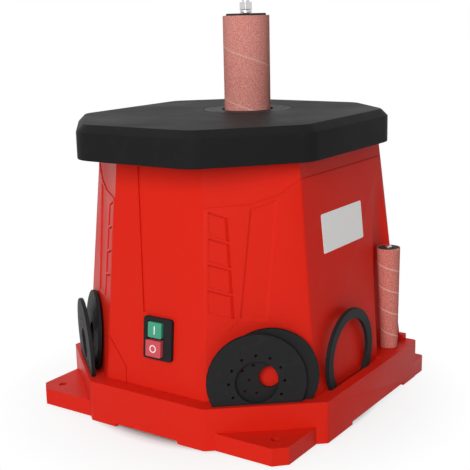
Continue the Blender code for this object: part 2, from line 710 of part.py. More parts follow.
WELL_REACH = max(START_SIZE[0], STOP_SIZE[0]) / 2 + RUNNING_GAP
WELL_LOW = (BUTTON_SHIFT - WELL_REACH, STOP_RISE - STOP_SIZE[1] / 2 - RUNNING_GAP)
WELL_HIGH = (BUTTON_SHIFT + WELL_REACH, START_RISE + START_SIZE[1] / 2 + RUNNING_GAP)
WELL_FLOOR = BUTTON_FLOOR - BUTTON_TRAVEL - RUNNING_GAP
cut(case, slab("button_well", [rectangle(WELL_LOW, WELL_HIGH)], WELL_FLOOR, SWITCH_BACK, SWITCH))
for name, size, rise, proud, paint in (
    ("start_button", START_SIZE, START_RISE, START_PROUD, GREEN_PLASTIC),
    ("stop_button", STOP_SIZE, STOP_RISE, STOP_PROUD, STOP_PLASTIC),
):
    half = (size[0] / 2, size[1] / 2)
    cap = rounded(rectangle((-half[0], -half[1]), half), 0.0015)
    slab(name, [cap], BUTTON_FLOOR, GAP + SWITCH_DEPTH + proud, SWITCH @ at(BUTTON_SHIFT, rise), paint)

# Dust port and cord gland in the back wall
PORT = BACK_WALL @ at(-FOOT_CORNERS[4][0], (PORT_Z - HOUSING_FOOT) * BACK_SLOPE)
PORT_BORE = PORT_RADIUS - PORT_WALL
port_profile = [(PORT_RADIUS - 0.001, PORT_LENGTH), (PORT_RADIUS, 0.006), (PORT_RADIUS, 0.0035)]
port_profile += [(PORT_RADIUS + 0.007, 0.003), (PORT_RADIUS + 0.007, GAP), (PORT_RADIUS, GAP)]
PORT_INSIDE = -HOUSING_WALL - 0.002
port_profile += [(PORT_RADIUS, PORT_INSIDE), (PORT_BORE, PORT_INSIDE), (PORT_BORE, PORT_LENGTH)]
cut(housing, rod("port_hole", PORT_RADIUS + GAP, -0.02, 0.02, None, 24, PORT))
turned("dust_port", port_profile, BLACK_PLASTIC, 24, PORT, closed=True)
GLAND = BACK_WALL @ at(2 * HALF_FOOT - GLAND_FROM_SIDE, (GLAND_Z - HOUSING_FOOT) * BACK_SLOPE)
gland_profile = [(GLAND_RADIUS * 0.8, 0.015), (GLAND_RADIUS, 0.011), (GLAND_RADIUS, 0.004), (0.0105, 0.0035)]
gland_profile += [(0.0105, GAP), (GLAND_RADIUS, GAP), (GLAND_RADIUS, -0.010), (0.004, -0.010), (0.004, 0.015)]
cut(housing, rod("gland_hole", GLAND_RADIUS + GAP, -0.02, 0.02, None, 16, GLAND))
turned("cord_gland", gland_profile, BLACK_PLASTIC, 16, GLAND, closed=True)

# Table: a bevelled casting, hollow underneath round a seat rib, a spindle boss and four posts
table = loft(
    "table",
    [
        (table_outline(), TABLE_BOTTOM),
        (table_outline(), TABLE_TOP - TABLE_BEVEL),
        (table_outline(TABLE_BEVEL), TABLE_TOP),
    ],
    BLACK_IRON,
)
POCKET_TOP = TABLE_TOP - TABLE_SKIN
rim_pocket = plate("rim_pocket", table_outline(TABLE_RIM), TABLE_BOTTOM - 0.01, POCKET_TOP)
cut(rim_pocket, plate("seat_rib", inset(RIM_OUTLINE, -0.002), TABLE_BOTTOM - 0.02, TABLE_TOP))
cut(table, rim_pocket)
cut(table, plate("inner_pocket", inset(RIM_OUTLINE, 0.009), TABLE_BOTTOM - 0.01, POCKET_TOP))
SPINDLE = at(0, SPINDLE_SETBACK)
SEAT_RADIUS = INSERT_RADIUS + GAP
SEAT_FLOOR = TABLE_TOP - INSERT_THICKNESS - GAP
BORE_RADIUS = INSERT_RADIUS - 0.0075
BOSS_RADIUS = SEAT_RADIUS + 0.007
unite(table, rod("spindle_boss", BOSS_RADIUS, TABLE_BOTTOM + 0.004, TABLE_TOP - 0.002, None, 36, SPINDLE))
POST_SPOTS = [(side * 0.060, y) for y in (-0.080, 0.097) for side in (-1, 1)]
BOLT_RADIUS = 0.003
BOLT_TIP = TABLE_BOTTOM + 0.012
POST_FOOT = PLATE_TOP + GAP
POST_HEAD = TABLE_TOP - 0.004
post_profile = [(0, POST_HEAD), (POST_RADIUS, POST_HEAD), (POST_RADIUS, POST_FOOT)]
post_profile += [(BOLT_RADIUS + GAP, POST_FOOT), (BOLT_RADIUS + GAP, BOLT_TIP + GAP), (0, BOLT_TIP + GAP)]
for number, (x, y) in enumerate(POST_SPOTS, 1):
    unite(table, turned("post_%d" % number, post_profile, None, 14, at(x, y)))
cut(table, rod("insert_seat", SEAT_RADIUS, SEAT_FLOOR, TABLE_TOP + 0.01, None, 40, SPINDLE))
cut(table, rod("spindle_hole", BORE_RADIUS, TABLE_BOTTOM - 0.01, TABLE_TOP, None, 36, SPINDLE))


def insert(name, opening, holes, place):
    """One round insert with its opening and rings of dust holes: (count, ring radius, first angle)."""
    profile = [(INSERT_RADIUS - 0.0004, INSERT_THICKNESS), (INSERT_RADIUS, INSERT_THICKNESS - 0.0004)]
    profile += [(INSERT_RADIUS, 0), (opening, 0), (opening, INSERT_THICKNESS)]
    made = turned(name, profile, BLACK_PLASTIC, 36, place, closed=True)
    bores = []
    for count, ring, first in holes:
        for number in range(count):
            angle = math.tau * number / count + first
            spot = at(ring * math.cos(angle), ring * math.sin(angle))
            bores.append((place @ spot, DUST_HOLE_RADIUS, 0.02))
    if bores:
        cut(made, bars(name + "_holes", bores, 6))


IN_USE = at(0, SPINDLE_SETBACK, TABLE_TOP - INSERT_THICKNESS)
insert("table_insert", USED_OPENING, [(DUST_HOLES, 0.040, 0.13)], IN_USE)


OUTER_HOLES = [(DUST_HOLES, DUST_RING, 0.02)]
INNER_HOLES = [(8, 0.0205, 0.1), (8, 0.028, 0.5)]
insert("front_outer_insert", 0.0215, OUTER_HOLES, PLACES["front_outer_insert"])
insert("front_inner_insert", 0.011, INNER_HOLES, PLACES["front_inner_insert"])
insert("left_outer_insert", 0.0165, OUTER_HOLES, PLACES["left_outer_insert"])
insert("left_inner_insert", 0.0135, [(8, 0.028, 0.5)], PLACES["left_inner_insert"])
FACING_RIGHT = Matrix.Rotation(math.pi / 2, 4, "Y")
RING_FRAME = at(RING_X - INSERT_THICKNESS / 2, RING_Y, DECK_TOP + RING_RISE) @ FACING_RIGHT
insert("right_ring_insert", 0.0385, [], RING_FRAME)

# Spindle assembly, from the splined end up to the nut
SHAFT_END = PULLEY_BOTTOM + 0.006
FLANGE_TOP = SLEEVE_BOTTOM - 0.0045
DRUM_FLOOR = SLEEVE_BOTTOM - 0.0009
CAP = 0.004
SHOULDER = DRUM_TOP - CAP - GAP
NUT_BOTTOM = DRUM_TOP + GAP + 0.0033 + GAP
TIP = NUT_BOTTOM + NUT_HEIGHT + 0.008
FLANGE_FOOT = FLANGE_TOP - FLANGE_THICKNESS
shaft_profile = [(0, TIP), (THREAD_RADIUS - 0.0008, TIP), (THREAD_RADIUS, TIP - 0.001)]
shaft_profile += [(THREAD_RADIUS, SHOULDER), (SHAFT_RADIUS, SHOULDER), (SHAFT_RADIUS, FLANGE_TOP)]
shaft_profile += [(FLANGE_RADIUS, FLANGE_TOP), (FLANGE_RADIUS, FLANGE_FOOT), (SHAFT_RADIUS, FLANGE_FOOT)]
shaft_profile += [(SHAFT_RADIUS, SHAFT_END), (0, SHAFT_END)]
turned("spindle_shaft", shaft_profile, STEEL, 20, SPINDLE)
tube("drum_washer", SHAFT_BORE, WASHER_RADIUS, FLANGE_TOP + GAP, DRUM_FLOOR - GAP, STEEL, 24, SPINDLE)
RIM_RADIUS = DRUM_RADIUS - 0.002
drum_profile = [(RIM_RADIUS - 0.0008, DRUM_TOP), (RIM_RADIUS, DRUM_TOP - 0.0008)]
drum_profile += [(RIM_RADIUS, SLEEVE_TOP - 0.002), (DRUM_RADIUS, SLEEVE_TOP - 0.002)]
drum_profile += [(DRUM_RADIUS, DRUM_FLOOR), (SHAFT_BORE, DRUM_FLOOR), (SHAFT_BORE, DRUM_TOP - CAP)]
drum_profile += [(THREAD_RADIUS + GAP, DRUM_TOP - CAP), (THREAD_RADIUS + GAP, DRUM_TOP)]
turned("rubber_drum", drum_profile, RUBBER, 28, SPINDLE, closed=True)
tube("sanding_sleeve", DRUM_RADIUS + GAP, SLEEVE_RADIUS, SLEEVE_BOTTOM, SLEEVE_TOP, ABRASIVE, 40, SPINDLE)
tube("top_washer", THREAD_RADIUS + GAP, 0.0064, DRUM_TOP + GAP, NUT_BOTTOM - GAP, STEEL, 20, SPINDLE)
NUT_CORNER = NUT_FLATS / math.sqrt(3)
NUT_ANGLES = [math.tau * number / 6 for number in range(6)]
NUT_OUTLINE = [(NUT_CORNER * math.cos(angle), NUT_CORNER * math.sin(angle)) for angle in NUT_ANGLES]
nut = plate("spindle_nut", NUT_OUTLINE, NUT_BOTTOM, NUT_BOTTOM + NUT_HEIGHT, STEEL)
nut.matrix_world = SPINDLE
NUT_TOP = NUT_BOTTOM + NUT_HEIGHT
cut(nut, rod("nut_bore", THREAD_RADIUS + GAP, NUT_BOTTOM - 0.01, NUT_TOP + 0.01, None, 20, SPINDLE))

# Drive plate under the table, its bolts and the upper bush
PLATE_OUTLINE = corner_outline(PLATE_HALF, PLATE_FRONT, PLATE_BACK, PLATE_CORNER)
drive_plate = plate("drive_plate", PLATE_OUTLINE, PLATE_BOTTOM, PLATE_TOP, ALUMINIUM)
BUSH_RADIUS = 0.012
cut(drive_plate, rod("bush_hole", BUSH_RADIUS + GAP, LOWER_TOP, TABLE_TOP, None, 20, SPINDLE))
cut(drive_plate, bars("bolt_holes", [(at(x, y, PLATE_TOP), BOLT_RADIUS + GAP, 0.08) for x, y in POST_SPOTS]))
BUSH_FLANGE = BUSH_RADIUS + 0.004
BUSH_FOOT = PLATE_BOTTOM - 0.003
bush_profile = [(BUSH_RADIUS, PLATE_TOP), (BUSH_RADIUS, PLATE_BOTTOM - GAP)]
bush_profile += [(BUSH_FLANGE, PLATE_BOTTOM - GAP), (BUSH_FLANGE, BUSH_FOOT)]
bush_profile += [(SHAFT_BORE, BUSH_FOOT), (SHAFT_BORE, PLATE_TOP)]
turned("upper_bush", bush_profile, BRONZE, 20, SPINDLE, closed=True)
for number, (x, y) in enumerate(POST_SPOTS, 1):
    head = PLATE_BOTTOM - GAP
    profile = [(0, BOLT_TIP), (BOLT_RADIUS, BOLT_TIP), (BOLT_RADIUS, head), (0.0065, head)]
    profile += [(0.0065, head - 0.005), (0, head - 0.005)]
    turned("plate_bolt_%d" % number, profile, STEEL, 12, at(x, y))

# Guide rods carry the lower plate and steer the carriage
ROD_SPOTS = [(0, SPINDLE_SETBACK - ROD_SPACING / 2), (0, SPINDLE_SETBACK + ROD_SPACING / 2)]
for side, (x, y) in zip(("front", "rear"), ROD_SPOTS):
    rod("guide_rod_" + side, ROD_RADIUS, LOWER_TOP + GAP, PLATE_BOTTOM - GAP, STEEL, 20, at(x, y))
LOWER_HALF = ROD_SPACING / 2 + LOWER_END
LOWER_OUTLINE = rectangle(
    (-LOWER_LEFT, SPINDLE_SETBACK - LOWER_HALF), (WHEEL_X + LOWER_REACH, SPINDLE_SETBACK + LOWER_HALF)
)
lower_plate = plate("lower_plate", LOWER_OUTLINE, LOWER_BOTTOM, LOWER_TOP, ALUMINIUM)
HUB_RADIUS = 0.012
RACE_RADIUS = HUB_RADIUS + 0.0055
cut(lower_plate, rod("race_hole", RACE_RADIUS + GAP, DECK_TOP, PLATE_BOTTOM, None, 20, SPINDLE))
tube("pulley_bearing", HUB_RADIUS + GAP, RACE_RADIUS, LOWER_BOTTOM, LOWER_TOP, STEEL, 20, SPINDLE)
AXLE_RADIUS = 0.004
LUG_FRONT = SPINDLE_SETBACK + WHEEL_THICKNESS / 2 + 0.007
unite(
    lower_plate,
    block(
        "axle_lug",
        (WHEEL_X - 0.011, LUG_FRONT, LOWER_TOP - 0.004),
        (WHEEL_X + 0.011, LUG_FRONT + 0.010, WHEEL_Z + 0.011),
    ),
)
ALONG_Y = Matrix.Rotation(-math.pi / 2, 4, "X")
WHEEL = at(WHEEL_X, SPINDLE_SETBACK, WHEEL_Z) @ ALONG_Y
cut(lower_plate, rod("axle_hole", AXLE_RADIUS + GAP, 0, 0.06, None, 20, WHEEL))


# Pulleys, belt and motor
def pulley(name, radius, hub_top, bore, place):
    """A flanged belt pulley with an optional hub above it."""
    lip = (PULLEY_WIDTH - BELT_WIDTH) / 2 - RUNNING_GAP
    flange = radius + 0.002
    profile = [(HUB_RADIUS, hub_top), (HUB_RADIUS, PULLEY_TOP), (flange, PULLEY_TOP)]
    profile += [(flange, PULLEY_TOP - lip)]
    profile += [(radius, PULLEY_TOP - lip), (radius, PULLEY_BOTTOM + lip), (flange, PULLEY_BOTTOM + lip)]
    profile += [(flange, PULLEY_BOTTOM), (bore, PULLEY_BOTTOM), (bore, hub_top)]
    return turned(name, profile, ALUMINIUM, 24, place, closed=True)


MOTOR = at(0, MOTOR_SETBACK)
WORM_FOOT = LOWER_TOP + GAP
pulley("spindle_pulley", SPINDLE_PULLEY_RADIUS, LOWER_TOP, SHAFT_BORE, SPINDLE)
pulley("motor_pulley", MOTOR_PULLEY_RADIUS, PULLEY_TOP + 0.004, MOTOR_SHAFT_RADIUS + GAP, MOTOR)


def belt_loop(extra):
    """The closed path round both pulleys at a distance from their grooves."""
    front, rear = MOTOR_PULLEY_RADIUS + extra, SPINDLE_PULLEY_RADIUS + extra
    lean = math.asin((rear - front) / (SPINDLE_SETBACK - MOTOR_SETBACK))
    points = []
    for step in range(17):
        angle = -lean + (math.pi + 2 * lean) * step / 16
        points.append((rear * math.cos(angle), SPINDLE_SETBACK + rear * math.sin(angle)))
    for step in range(17):
        angle = math.pi + lean + (math.pi - 2 * lean) * step / 16
        points.append((front * math.cos(angle), MOTOR_SETBACK + front * math.sin(angle)))
    return points


BELT_MIDDLE = (PULLEY_TOP + PULLEY_BOTTOM) / 2
BELT_LOW, BELT_HIGH = BELT_MIDDLE - BELT_WIDTH / 2, BELT_MIDDLE + BELT_WIDTH / 2
belt = plate("drive_belt", belt_loop(BELT_GAP + BELT_THICKNESS), BELT_LOW, BELT_HIGH, RUBBER)
cut(belt, plate("belt_inside", belt_loop(BELT_GAP), BELT_LOW - 0.01, BELT_HIGH + 0.01))
MOTOR_TOP = PLATE_BOTTOM - GAP
MOTOR_BOTTOM = MOTOR_TOP - MOTOR_LENGTH
SOCKET = 0.015
can_profile = [(0, MOTOR_TOP), (MOTOR_RADIUS, MOTOR_TOP), (MOTOR_RADIUS, MOTOR_TOP - 0.006)]
can_profile += [(MOTOR_RADIUS - 0.002, MOTOR_TOP - 0.008), (MOTOR_RADIUS - 0.002, MOTOR_BOTTOM + 0.014)]
can_profile += [(MOTOR_RADIUS - 0.008, MOTOR_BOTTOM), (0.018, MOTOR_BOTTOM)]
can_profile += [(0.017, MOTOR_BOTTOM - 0.004), (MOTOR_SHAFT_RADIUS + GAP, MOTOR_BOTTOM - 0.004)]
can_profile += [(MOTOR_SHAFT_RADIUS + GAP, MOTOR_BOTTOM + SOCKET), (0, MOTOR_BOTTOM + SOCKET)]
turned("motor_can", can_profile, MOTOR_PAINT, 24, MOTOR)
rod("motor_shaft", MOTOR_SHAFT_RADIUS, PULLEY_BOTTOM - 0.002, MOTOR_BOTTOM + SOCKET - GAP, STEEL, 20, MOTOR)


# Worm on the pulley's hub, and the wheel that turns once for each stroke
def worm_shape(turns, around=14, samples=5):
    """A single-start thread: the radius follows the height less the turn."""
    shape = bmesh.new()
    root = WORM_RADIUS - 0.0018
    start = WORM_FOOT + 0.006
    rings = []
    levels = [(WORM_FOOT, HUB_RADIUS + 0.003), (start - 0.0005, HUB_RADIUS + 0.003), (start, None)]
    levels += [(start + WORM_PITCH * step / samples, None) for step in range(1, turns * samples + 1)]
    for height, fixed in levels:
        ring = []
        for number in range(around):
            angle = math.tau * number / around
            wave = ((height - start) / WORM_PITCH - number / around) % 1.0
            crest = max(0.0, 1.0 - abs(2.0 * wave - 1.0) * 1.6)
            radius = fixed or root + min(1.0, crest * 1.6) * (WORM_RADIUS - root)
            ring.append(shape.verts.new((radius * math.cos(angle), radius * math.sin(angle), height)))
        rings.append(ring)
    bore = []
    for height in (levels[-1][0], WORM_FOOT):
        points = [math.tau * number / around for number in range(around)]
        bore.append([shape.verts.new((SHAFT_BORE * math.cos(a), SHAFT_BORE * math.sin(a), height)) for a in points])
    loops = rings + bore
    for lower, upper in zip(loops, loops[1:] + loops[:1]):
        for index in range(around):
            shape.faces.new((lower[index - 1], lower[index], upper[index], upper[index - 1]))
    return shape


WORM_TURNS = 8
worm = add("worm", worm_shape(WORM_TURNS), STEEL)
worm.matrix_world = SPINDLE
HALF_WHEEL = WHEEL_THICKNESS / 2
teeth = []
for number in range(WHEEL_TEETH):
    for part, radius in ((-0.30, -0.0016), (-0.16, 0.0), (0.16, 0.0), (0.30, -0.0016)):
        angle = math.tau * (number + part) / WHEEL_TEETH
        teeth.append(((WHEEL_RADIUS + radius) * math.cos(angle), (WHEEL_RADIUS + radius) * math.sin(angle)))
wheel = plate("worm_wheel", teeth, -HALF_WHEEL, HALF_WHEEL, BRONZE)
wheel.matrix_world = WHEEL
cut(wheel, rod("wheel_bore", AXLE_RADIUS + GAP, -0.05, 0.05, None, 20, WHEEL))
PIN_SPOT = WHEEL @ at(0, CRANK)
PIN_RADIUS = 0.0035
YOKE_GAP = 0.0085
PIN_SEAT = 0.004
cut(wheel, rod("pin_seat", PIN_RADIUS + GAP, -0.05, -HALF_WHEEL + PIN_SEAT, None, 16, PIN_SPOT))
rod("wheel_axle", AXLE_RADIUS, -HALF_WHEEL, HALF_WHEEL + 0.018, STEEL, 20, WHEEL)
PIN_REACH = HALF_WHEEL + YOKE_GAP - RUNNING_GAP
rod("crank_pin", PIN_RADIUS, -PIN_REACH, -HALF_WHEEL + PIN_SEAT - GAP, STEEL, 16, PIN_SPOT)

# Carriage: bearing block on the guide rods with a slotted yoke that the crank lifts
BLOCK_HALF = ROD_SPACING / 2 + 0.012
carriage = block(
    "carriage",
    (-0.021, SPINDLE_SETBACK - BLOCK_HALF, CARRIAGE_BOTTOM),
    (0.021, SPINDLE_SETBACK + BLOCK_HALF, CARRIAGE_TOP),
    ALUMINIUM,
)
YOKE_BACK = SPINDLE_SETBACK - HALF_WHEEL - YOKE_GAP
SLOT_Z = WHEEL_Z - CRANK
SLOT_HALF = PIN_RADIUS + GAP
SLOT_REACH = CRANK + SLOT_HALF + 0.002
unite(
    carriage,
    block(
        "yoke",
        (0.010, YOKE_BACK - 0.008, SLOT_Z - SLOT_HALF - 0.006),
        (WHEEL_X + SLOT_REACH + 0.006, YOKE_BACK, CARRIAGE_BOTTOM + 0.012),
    ),
)
cut(
    carriage,
    block(
        "yoke_slot",
        (WHEEL_X - SLOT_REACH, YOKE_BACK - 0.03, SLOT_Z - SLOT_HALF),
        (WHEEL_X + SLOT_REACH, YOKE_BACK + 0.01, SLOT_Z + SLOT_HALF),
    ),
)
cut(carriage, bars("rod_bores", [(at(x, y, CARRIAGE_TOP), ROD_RADIUS + GAP, 0.2) for x, y in ROD_SPOTS], 20))
BEARING_FLOOR = CARRIAGE_BOTTOM + 0.006
cut(carriage, rod("bearing_seat", BEARING_RADIUS + GAP, BEARING_FLOOR, PLATE_TOP, None, 20, SPINDLE))
cut(carriage, rod("shaft_bore", SHAFT_RADIUS + 0.003, DECK_TOP, PLATE_TOP, None, 20, SPINDLE))
RACE_FOOT, RACE_HEAD = BEARING_FLOOR + GAP, CARRIAGE_TOP - GAP
tube("carriage_bearing", SHAFT_BORE, BEARING_RADIUS, RACE_FOOT, RACE_HEAD, STEEL, 20, SPINDLE)
tube("upper_collar", SHAFT_BORE, 0.011, CARRIAGE_TOP + GAP, CARRIAGE_TOP + 0.006, STEEL, 16, SPINDLE)
tube("lower_collar", SHAFT_BORE, 0.011, CARRIAGE_BOTTOM - 0.007, CARRIAGE_BOTTOM - GAP, STEEL, 16, SPINDLE)

# Spare drum with its sleeve, standing on the peg in the niche
SPARE_BOTTOM = GAP
SPARE_TOP = SPARE_BOTTOM + SPARE_LENGTH
SPARE_BORE = PEG_RADIUS + GAP
spare_profile = [(SPARE_TOP_RADIUS, SPARE_TOP), (SPARE_FOOT_RADIUS, SPARE_BOTTOM)]
spare_profile += [(SPARE_FOOT_RADIUS - SLEEVE_WALL, SPARE_BOTTOM), (SPARE_TOP_RADIUS - SLEEVE_WALL, SPARE_TOP)]
turned("spare_sleeve", spare_profile, ABRASIVE, 28, SPARE_FRAME, closed=True)
DRUM_SKIN = SLEEVE_WALL + GAP
core_profile = [(SPARE_TOP_RADIUS - DRUM_SKIN, SPARE_TOP), (SPARE_FOOT_RADIUS - DRUM_SKIN, SPARE_BOTTOM)]
core_profile += [(SPARE_BORE, SPARE_BOTTOM), (SPARE_BORE, SPARE_TOP)]
turned("spare_drum", core_profile, RUBBER, 24, SPARE_FRAME, closed=True)
rod("spare_core", PEG_RADIUS, PEG_HEIGHT + 0.002, SPARE_TOP + 0.0012, STEEL, 20, SPARE_FRAME)
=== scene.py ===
import math

import bpy
from mathutils import Matrix, Vector


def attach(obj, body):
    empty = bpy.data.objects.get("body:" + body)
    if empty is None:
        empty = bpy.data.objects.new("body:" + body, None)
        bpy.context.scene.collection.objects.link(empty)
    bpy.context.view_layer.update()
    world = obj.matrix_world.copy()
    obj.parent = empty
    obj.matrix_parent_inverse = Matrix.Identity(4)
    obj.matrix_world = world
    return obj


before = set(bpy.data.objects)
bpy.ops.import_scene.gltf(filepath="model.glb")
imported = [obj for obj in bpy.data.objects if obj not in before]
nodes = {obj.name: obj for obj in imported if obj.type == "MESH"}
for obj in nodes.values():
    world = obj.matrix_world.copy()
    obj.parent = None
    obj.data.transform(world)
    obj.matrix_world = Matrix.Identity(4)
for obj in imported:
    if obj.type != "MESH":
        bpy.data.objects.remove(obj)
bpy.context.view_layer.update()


# Studio: a pale sweep of paper, one wide softbox in front, one overhead,
# and a plain white room that the metal and the gloss can show.
paper_white = (0.93, 0.93, 0.92, 1.0)
bpy.ops.object.select_all(action="DESELECT")
bpy.ops.mesh.primitive_plane_add(size=12, location=(0, 0, -0.0002))
floor = bpy.context.object
floor.name = "studio_floor"
paper = bpy.data.materials.new("studio_paper")
paper.use_nodes = True
tree = paper.node_tree
tree.nodes.clear()
matt = tree.nodes.new("ShaderNodeBsdfDiffuse")
matt.inputs["Color"].default_value = paper_white
glow = tree.nodes.new("ShaderNodeEmission")
glow.inputs["Color"].default_value = (1, 1, 1, 1)
glow.inputs["Strength"].default_value = 1.0
path = tree.nodes.new("ShaderNodeLightPath")
clear = tree.nodes.new("ShaderNodeMath")
clear.operation = "MAXIMUM"
straight = tree.nodes.new("ShaderNodeMath")
straight.operation = "MAXIMUM"
spot = tree.nodes.new("ShaderNodeTexCoord")
away = tree.nodes.new("ShaderNodeVectorMath")
away.operation = "LENGTH"
fade = tree.nodes.new("ShaderNodeValToRGB")
fade.color_ramp.elements[0].position = 0.150
fade.color_ramp.elements[0].color = (0, 0, 0, 1)
fade.color_ramp.elements[1].position = 0.27
fade.color_ramp.elements[1].color = (1, 1, 1, 1)
fade.color_ramp.elements.new(0.168).color = (0.78, 0.78, 0.78, 1)
share = tree.nodes.new("ShaderNodeMath")
share.operation = "MULTIPLY"
mix = tree.nodes.new("ShaderNodeMixShader")
out = tree.nodes.new("ShaderNodeOutputMaterial")
tree.links.new(spot.outputs["Object"], away.inputs[0])
tree.links.new(away.outputs["Value"], fade.inputs["Fac"])
tree.links.new(path.outputs["Is Glossy Ray"], clear.inputs[0])
tree.links.new(path.outputs["Is Transmission Ray"], clear.inputs[1])
tree.links.new(path.outputs["Is Camera Ray"], straight.inputs[0])
tree.links.new(clear.outputs[0], straight.inputs[1])
tree.links.new(straight.outputs[0], share.inputs[0])
tree.links.new(fade.outputs["Color"], share.inputs[1])
tree.links.new(share.outputs[0], mix.inputs["Fac"])
tree.links.new(matt.outputs[0], mix.inputs[1])
tree.links.new(glow.outputs[0], mix.inputs[2])
tree.links.new(mix.outputs[0], out.inputs["Surface"])
floor.data.materials.append(paper)

room = bpy.data.worlds.new("studio_room")
bpy.context.scene.world = room
room.use_nodes = True
tree = room.node_tree
tree.nodes.clear()
ambient = tree.nodes.new("ShaderNodeBackground")
ambient.inputs["Color"].default_value = (1, 1, 1, 1)
ambient.inputs["Strength"].default_value = 0.17
seen = tree.nodes.new("ShaderNodeBackground")
seen.inputs["Color"].default_value = (1, 1, 1, 1)
seen.inputs["Strength"].default_value = 1.0
path = tree.nodes.new("ShaderNodeLightPath")
clear = tree.nodes.new("ShaderNodeMath")
clear.operation = "MAXIMUM"
straight = tree.nodes.new("ShaderNodeMath")
straight.operation = "MAXIMUM"
mix = tree.nodes.new("ShaderNodeMixShader")
out = tree.nodes.new("ShaderNodeOutputWorld")
tree.links.new(path.outputs["Is Glossy Ray"], clear.inputs[0])
tree.links.new(path.outputs["Is Transmission Ray"], clear.inputs[1])
tree.links.new(path.outputs["Is Camera Ray"], straight.inputs[0])
tree.links.new(clear.outputs[0], straight.inputs[1])
tree.links.new(straight.outputs[0], mix.inputs["Fac"])
tree.links.new(ambient.outputs[0], mix.inputs[1])
tree.links.new(seen.outputs[0], mix.inputs[2])
tree.links.new(mix.outputs[0], out.inputs["Surface"])

for name, place, size, power in (
    ("front_softbox", (0.70, -2.1, 1.10), 1.2, 40.0),
    ("top_softbox", (-0.5, 0.1, 2.4), 1.6, 17.0),
):
    lamp = bpy.data.lights.new(name, "AREA")
    lamp.shape = "SQUARE"
    lamp.size = size
    lamp.energy = power
    softbox = bpy.data.objects.new(name, lamp)
    bpy.context.scene.collection.objects.link(softbox)
    softbox.location = place
    aim = Vector((0, 0, 0.2)) - Vector(place)
    softbox.rotation_euler = aim.to_track_quat("-Z", "Y").to_euler()

lens = bpy.data.cameras.new("studio_camera")
lens.sensor_width = 36.0
lens.lens = 73.72
lens.shift_x = 0.0151
lens.shift_y = 0.0039
camera = bpy.data.objects.new("studio_camera", lens)
bpy.context.scene.collection.objects.link(camera)
turn = Matrix.Rotation(math.radians(34.53), 4, "Z")
tilt = Matrix.Rotation(math.radians(90 - 13.0), 4, "X")
roll = Matrix.Rotation(math.radians(-1.37), 4, "Z")
camera.matrix_world = Matrix.Translation((0.5878, -0.8541, 0.41705)) @ turn @ tilt @ roll
bpy.context.scene.camera = camera
bpy.context.scene.view_settings.view_transform = "Standard"


# Base pan: one injection-moulded red tray with bolt ears and slots in its
# deck for the spare inserts. It stands on the feet and carries the housing.
def moulded_finish():
    """Fine grain, cloudy gloss and faint handling marks for moulded and cast surfaces."""
    group = bpy.data.node_groups.new("moulded_finish", "ShaderNodeTree")
    face = group.interface
    for label, kind, value in (
        ("Colour", "NodeSocketColor", (0.5, 0.5, 0.5, 1)),
        ("Scuffed Colour", "NodeSocketColor", (0.6, 0.6, 0.6, 1)),
        ("Scuffs", "NodeSocketFloat", 0.2),
        ("Gloss Low", "NodeSocketFloat", 0.3),
        ("Gloss High", "NodeSocketFloat", 0.45),
        ("Grain Scale", "NodeSocketFloat", 900.0),
    ):
        face.new_socket(label, in_out="INPUT", socket_type=kind).default_value = value
    face.new_socket("Colour", in_out="OUTPUT", socket_type="NodeSocketColor")
    face.new_socket("Roughness", in_out="OUTPUT", socket_type="NodeSocketFloat")
    face.new_socket("Height", in_out="OUTPUT", socket_type="NodeSocketFloat")
    get = group.nodes.new("NodeGroupInput")
    give = group.nodes.new("NodeGroupOutput")
    place = group.nodes.new("ShaderNodeTexCoord")
    cloud = group.nodes.new("ShaderNodeTexNoise")
    cloud.inputs["Scale"].default_value = 14.0
    cloud.inputs["Detail"].default_value = 5.0
    marks = group.nodes.new("ShaderNodeTexNoise")
    marks.inputs["Scale"].default_value = 90.0
    marks.inputs["Detail"].default_value = 6.0
    marks.inputs["Roughness"].default_value = 0.7
    grain = group.nodes.new("ShaderNodeTexNoise")
    grain.inputs["Detail"].default_value = 2.0
    limit = group.nodes.new("ShaderNodeMapRange")
    limit.inputs["From Min"].default_value = 0.56
    limit.inputs["From Max"].default_value = 0.80
    amount = group.nodes.new("ShaderNodeMath")
    amount.operation = "MULTIPLY"
    shade = group.nodes.new("ShaderNodeMix")
    shade.data_type = "RGBA"
    gloss = group.nodes.new("ShaderNodeMapRange")
    gloss.inputs["From Min"].default_value = 0.3
    gloss.inputs["From Max"].default_value = 0.7
    wire = group.links.new
    for noise in (cloud, marks, grain):
        wire(place.outputs["Object"], noise.inputs["Vector"])
    wire(get.outputs["Grain Scale"], grain.inputs["Scale"])
    wire(marks.outputs["Fac"], limit.inputs["Value"])
    wire(limit.outputs["Result"], amount.inputs[0])
    wire(get.outputs["Scuffs"], amount.inputs[1])
    wire(amount.outputs[0], shade.inputs["Factor"])
    wire(get.outputs["Colour"], shade.inputs["A"])
    wire(get.outputs["Scuffed Colour"], shade.inputs["B"])
    wire(cloud.outputs["Fac"], gloss.inputs["Value"])
    wire(get.outputs["Gloss Low"], gloss.inputs["To Min"])
    wire(get.outputs["Gloss High"], gloss.inputs["To Max"])
    wire(shade.outputs["Result"], give.inputs["Colour"])
    wire(gloss.outputs["Result"], give.inputs["Roughness"])
    wire(grain.outputs["Fac"], give.inputs["Height"])
    return group


FINISH = moulded_finish()


